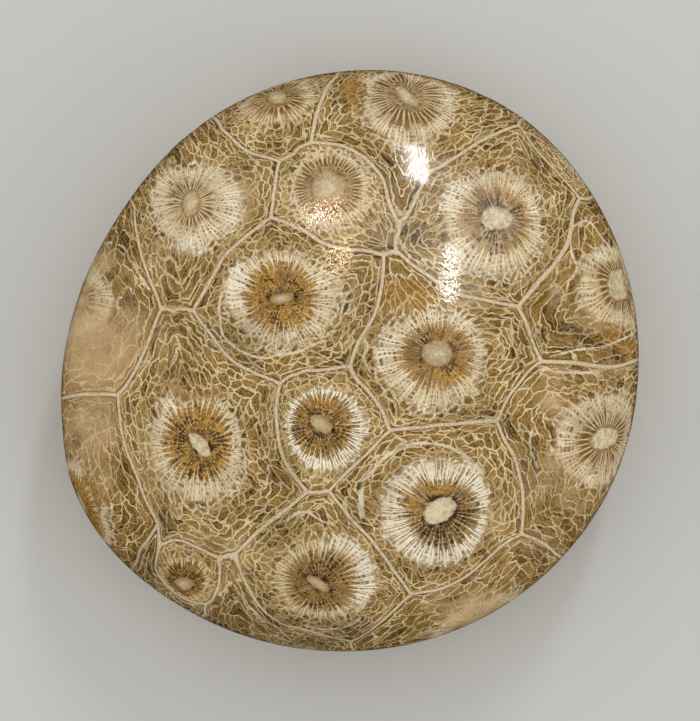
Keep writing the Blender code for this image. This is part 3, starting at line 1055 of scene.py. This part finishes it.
spokes = paint(
    blend(between(discChance * 0.6 + grain * 0.7, 0.3, 0.9), "spokeBrown", "fill"),
    (between(speck + fineOff * 0.5, 0.5, 0.7) * 0.6, "fillPale"),
    (between(discChance, 0.5, 0.15) * between(zone, 2.0, 1.5) * 0.45, "spokeDark"),
    (light * between(petal, 1.1, 1.8) * 0.85, "discPale"),
    (bold * between(past, 0.06, -0.06) * 0.8, "pith"),
    (boldGap * between(discGap + speckOff * 0.12, 0.07, 0.14) * (0.95 - light * 0.3), "dashBrown"),
    (besideSeptum * between(spokeNoise + fineOff * 0.4, 0.44, 0.56), "spokeDark"),
    (between(mottle, 0.54, 0.68) * 0.45, "discPale"),
    (between(mottle, 0.47, 0.34) * 0.5, "spokeDark"),
)

# Amber over the disc, and soot in holes, in strings and in blobs.
amberMix = between(grain * 0.5 + spokeNoise * 0.7 + speckOff * 0.3 + mottleOff * 0.8, 0.38, 0.8)
amberTone = blend(amberMix, "amberDeep", "amber")
amberShare = between(amberStain + cloudOff * 0.7 + waveOff * 0.5 + discOff * 0.3, 0.3, 0.6)
septumTone = blend(white * 0.6, "ringCream", "ringWhite")
holeOval, holeChance = holesBetween(discShare, discIndex, stoneLook["holeLength"], 3.5)
sootArea = noise(inCup(9), 0.75, 2)
sootBand = between(zone, 2.0, 1.15) * 0.14 + sootStain * 0.42 + (sootArea - 0.5) * 1.3
holes = between(holeOval + (holeChance - 0.5) * 0.8 + (sootBand - 0.5) * 1.6, 0.35, 0.6)
holes = holes * between(sootBand, 0.3, 0.5)
stringPath = noise(inCup(5), 0.8, 2, 0.6)
strings = (1 - between(calc("ABSOLUTE", stringPath - 0.5), 0.01, 0.04)) * between(sootBand, 0.28, 0.45)
blobs = between(sootBand + speckOff * 1.2, 0.72, 0.86)
soot = high(high(holes * 0.8, blobs), strings * 0.8) * between(sootStain, 0.08, 0.3)
rung = between(holeOval, 0.1, -0.1) * between(sootStain, 0.1, 0.4) * between(sootBand, 0.3, 0.5)
septumShare = high(septum * (0.6 + bold * 0.25 - amberShare * 0.45), rung * 0.5)
septumShare = septumShare * (1 - high(blobs, strings) * soot * 0.8)
disc = paint(
    spokes,
    (amberShare * (0.88 - light * 0.3), amberTone),
    (soot * 0.92, "soot"),
    (septumShare, septumTone),
)

# The heart, with a dark and broken edge.
heartEdge = zone + grainOff * 0.3
heartLine = between(heartEdge, 0.84, 0.98) * between(heartEdge, 1.22, 1.04)
pits = between(fineGrain, 0.58, 0.66) * between(zone, 0.55, 0.95) * between(sootStain, 0.2, 0.5)
heartPale = between(noise(place, 1.5, 3, 0.6) + (pale - 0.6) * 0.25, 0.34, 0.62)
heart = paint(
    blend(heartPale, "heartDeep", "heart"),
    (between(pale, 0.6, 0.0) * (0.3 + between(zone, 0.3, 0.9) * 0.4), "spokeBrown"),
    (between(zone, 0.8, 0.1) * 0.3, "ringWhite"),
    (pits * 0.7, "spokeDark"),
    (between(mottle, 0.52, 0.64) * (0.55 - pale * 0.35), "spokeBrown"),
)

# The zones laid over one another, with soot along the heart's edge.
discEdge = zone + discBow * 1.8 + grainOff * 0.15 + discOff * 0.25
discFade = between(past + discOff * 0.4, 0.35, 0.75) * bold * 0.85
sootArc = heartLine * between(sootArea, 0.49, 0.58) * between(sootStain, 0.2, 0.6)
colour = paint(
    bubbles,
    (ringCover, ring),
    (between(discEdge, 2.14, 2.04) * (1 - discFade), disc),
    (between(heartEdge, 1.05, 0.92), heart),
    (heartLine * (0.25 + sootStain * 0.4) * between(wave, 0.4, 0.6), "spokeDark"),
    (sootArc * 0.8, "soot"),
)

# Amber that fills whole bubbles, second outlines, milky clouds with painted haze, and the walls.
patch = between(amberPatch + (cellChance - 0.5) * 0.5 + grainOff * 0.3, 0.42, 0.52)
patch = patch * between(zone, 1.95, 2.1)
colour = blend(patch * (1 - net * 0.5) * 0.9, colour, blend(0.45, amberTone, "amberDeep"))
colour = vectorCalc("MULTIPLY", colour, stoneLook["tint"])
seamWide = white * 0.24 - 0.04 + waveOff * 0.3
seamLine = between(calc("ABSOLUTE", seamOff + grainOff * 0.35), seamWide + 0.14, seamWide)
seamLine = seamLine * between(seamEnd, 0.0, 0.4)
# The veil is partly the stone's milky clouds and partly painted haze and light.
veil = milkAndPaintedHaze * between(cloud + grainOff * 0.4 + milkAndPaintedHaze * 0.25, 0.35, 0.72)
wallHalf = wallMake["half"] * wallWide * (0.65 + grain * 0.4 + speck * 0.3)
wall = 1 - between(wallGap, wallHalf - 0.07, wallHalf + 0.07)
# A band of painted shade beside the walls.
wallSide = (1 - between(wallGap, wallHalf + 0.08, wallHalf + 0.32)) * between(cloud, 0.3, 0.6)
wallTone = blend(between(speck, 0.45, 0.7) * 0.6, "wall", "streak")
colour = paint(
    colour,
    (seamLine * (0.55 + ringChance * 0.4), "seam"),
    (veil * (0.78 - net * 0.15), "milkAndPaintedHaze"),
    (wallSide * 0.55, "wallShade"),
    (wall * 0.9, wallTone),
)
# Random tone from the noise, darkened further by painted shade where the shade patches lie.
sharp = 0.35 + between(zone, 0.8, 1.2) * 0.75
shade = (cloudOff * 0.5 + fineOff * sharp + 1.0) * (1 - paintedShadeShare * 0.4)
colour = vectorCalc("MULTIPLY", colour, vector(shade, shade, shade))

shader = nodes["Principled BSDF"]
plug(shader.inputs["Base Color"], colour)
# Polish with dull specks, so that a lamp's reflection breaks up there.
comb = between(ringGap, 0.1, 0.04) * between(pastRing, 1.6, 0.6) * between(zone, 1.9, 2.2)
dullSpecks = between(speck * 0.35 + mottle * 0.85 - glint * 0.1, 0.56, 0.53) * between(glint, 0.05, 0.3)
dull = high(dullSpecks, comb * 0.5)
plug(shader.inputs["Roughness"], stoneLook["roughness"] + fineGrain * 0.04 + dull * 0.7)
shader.inputs["Specular IOR Level"].default_value = stoneLook["specular"]
lines = high(high(net, wall), ringCover * (0.7 - dash * 0.6))
plug(shader.inputs["Normal"], make("Bump", {
    "Strength": stoneLook["reliefStrength"],
    "Distance": stoneLook["relief"] * mm,
    "Height": lines + fineGrain * 0.6 + speck * glint * 3,
}))
print("material:", len(nodes), "nodes")


# The map for baking: the upper stone and the underside, each a disc.
bakeMap = {
    "upper": (0.340, 0.335),    # middle and radius of a disc, where the map's sides are 1
    "under": (0.762, 0.233),
}


# Arc length from the pole of an ellipse: the sum of the chords of (r sin t, h cos t).
def arcFromPole(angle, height):
    steps = np.linspace(0, math.pi / 2, 181)
    profile = np.stack([meanRadius * np.sin(steps), height * np.cos(steps)], -1)
    chords = np.linalg.norm(np.diff(profile, axis=0), axis=-1)
    return np.interp(angle, steps, np.concatenate([[0], np.cumsum(chords)]))


# A place (x, y, z) goes to its disc's middle plus s (cos turn, sin turn), where s is the arc length
# from the crown over the girdle, or from the lowest place, which also turns the disc over.
def makeBakeMap(mesh, points):
    plan = np.hypot(points[:, 0], points[:, 1]) / meanRadius
    rise = points[:, 2] - girdleHeight
    fromCrown = arcFromPole(np.arctan2(plan, rise / domeHeight), domeHeight)
    fromBelow = arcFromPole(np.arctan2(plan, -rise / undersideDepth), undersideDepth)
    halves = arcFromPole(math.pi / 2, domeHeight), arcFromPole(math.pi / 2, undersideDepth)
    fromCrown = np.where(rise > 0, fromCrown, sum(halves) - fromBelow)

    centres, sizes = np.empty(len(mesh.polygons) * 3), np.empty(len(mesh.polygons), int)
    mesh.polygons.foreach_get("center", centres)
    mesh.polygons.foreach_get("loop_total", sizes)
    ends = np.empty(len(mesh.loops), int)
    mesh.loops.foreach_get("vertex_index", ends)
    above = np.repeat(centres[2::3] > stoneForm["discSplit"], sizes)
    reach = np.where(above, fromCrown[ends], sum(halves) - fromCrown[ends])
    turn = np.arctan2(points[ends, 1], points[ends, 0])
    turn = np.where(above, turn, math.pi - turn)
    middle, radius = (np.where(above, *sides) for sides in zip(bakeMap["upper"], bakeMap["under"]))
    radius = radius / np.where(above, reach[above].max(), reach[~above].max())
    places = np.stack([middle + reach * radius * np.cos(turn), middle + reach * radius * np.sin(turn)], -1)
    mesh.uv_layers.new(name="OFBake").uv.foreach_set("vector", places.ravel())


points = np.empty(len(stoneMesh.vertices) * 3)
stoneMesh.vertices.foreach_get("co", points)
points = points.reshape(-1, 3)
makeBakeMap(stoneMesh, points)
points[:, 2] = cutHeight(points[:, 2])
insideCad = (0.9995, 0.9995, 1)     # keeps the fine skin just inside the coarser solid's box
stoneMesh.vertices.foreach_set("co", (points * mm * insideCad).ravel())
stoneMesh.polygons.foreach_set("use_smooth", [True] * len(stoneMesh.polygons))
stoneMesh.materials.append(material)
stoneMesh.update()
coral = bpy.data.objects.new("coral_head", stoneMesh)
bpy.context.scene.collection.objects.link(coral)
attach(coral, "root")
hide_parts("coral_head")

# The room round the stone. Lengths are in metres.
studio = {
    "floorHalf": 1.0, "floorColour": (0.6, 0.6, 0.58, 1), "floorRoughness": 0.9,
    "skyColour": (1.0, 0.98, 0.95, 1), "skyStrength": 0.67,
    "aimHeight": 0.02,          # where the lamps point
    "lens": 150, "clipStart": 0.01,
}
# Each lamp by its turn and its tilt off the vertical in degrees, distance, size, watts, colour and
# roll about its own line to the stone. The glint lamps show in the polish alone.
keyLamp = 73.5, 53.3, 0.9, (0.25, 0.085), 1.45, (0.94, 0.97, 1.0), 12
fillLamp = {
    "tilt": 64, "distance": 1.0, "size": (0.8, 0.8),
    "turnWatts": ((40, 0.7), (140, 1.1), (200, 1.35), (325, 2.1)),
}
glintLamps = {
    "side": (36, 28.0, 0.9, (0.2, 0.06), 1.4, (1.0, 0.98, 0.94), 45),
    "warm": (102, 34.5, 0.9, (0.12, 0.11), 1.7, (1.0, 0.62, 0.36), 0),
    "spark": (103, 33.5, 0.9, (0.045, 0.035), 0.5, (1.0, 0.9, 0.8), 0),
    "glow": (97, 20, 0.9, (0.1, 0.08), 0.75, (1.0, 0.7, 0.45), 0),
    "haze": (52, 40, 0.9, (0.6, 0.5), 1.2, (0.88, 0.94, 1.0), 0),
}

half = studio["floorHalf"]
floorMesh = bpy.data.meshes.new("floor")
floorMesh.from_pydata([(-half, -half, 0), (half, -half, 0), (half, half, 0), (-half, half, 0)],
                      [], [(0, 1, 2, 3)])
floor = bpy.data.objects.new("floor", floorMesh)
floorMaterial = bpy.data.materials.new("floor")
floorMaterial.use_nodes = True
floorShader = floorMaterial.node_tree.nodes["Principled BSDF"]
floorShader.inputs["Base Color"].default_value = studio["floorColour"]
floorShader.inputs["Roughness"].default_value = studio["floorRoughness"]
floorMesh.materials.append(floorMaterial)
bpy.context.scene.collection.objects.link(floor)
floor.visible_glossy = False

# The sky and the floor light the stone, but its polish mirrors the lamps alone.
world = bpy.data.worlds.new("studio")
bpy.context.scene.world = world
world.use_nodes = True
sky = world.node_tree.nodes["Background"]
sky.inputs["Color"].default_value = studio["skyColour"]
sky.inputs["Strength"].default_value = studio["skyStrength"]
world.cycles_visibility.glossy = False
bpy.context.scene.view_settings.view_transform = "Standard"


def addLamp(name, turn, tilt, distance, size, watts, colour=(1, 1, 1), roll=0):
    lamp = bpy.data.lights.new(name, "AREA")
    lamp.shape = "RECTANGLE"
    lamp.size, lamp.size_y = size
    lamp.energy = watts
    lamp.color = colour
    turn, tilt = math.radians(turn), math.radians(tilt)
    away = np.array([math.sin(tilt) * math.cos(turn), math.sin(tilt) * math.sin(turn), math.cos(tilt)])
    item = bpy.data.objects.new(name, lamp)
    item.location = away * distance + [0, 0, studio["aimHeight"]]
    facing = mathutils.Euler((0, tilt, turn)).to_matrix()
    rolled = facing @ mathutils.Matrix.Rotation(math.radians(roll), 3, "Z")
    item.rotation_euler = rolled.to_euler()
    bpy.context.scene.collection.objects.link(item)
    return item


addLamp("key", *keyLamp)
for turn, watts in fillLamp["turnWatts"]:
    fillItem = addLamp("fill", turn, fillLamp["tilt"], fillLamp["distance"], fillLamp["size"], watts)
    fillItem.visible_glossy = False
for name, lamp in glintLamps.items():
    addLamp(name, *lamp).visible_diffuse = False
print("lights:", len(bpy.data.lights))

camera = bpy.data.objects.new("camera", bpy.data.cameras.new("camera"))
camera.data.lens = studio["lens"]
camera.data.clip_start = studio["clipStart"]
camera.location = (0, 0, planGrid["eyeHeight"] * mm)
bpy.context.scene.collection.objects.link(camera)
bpy.context.scene.camera = camera
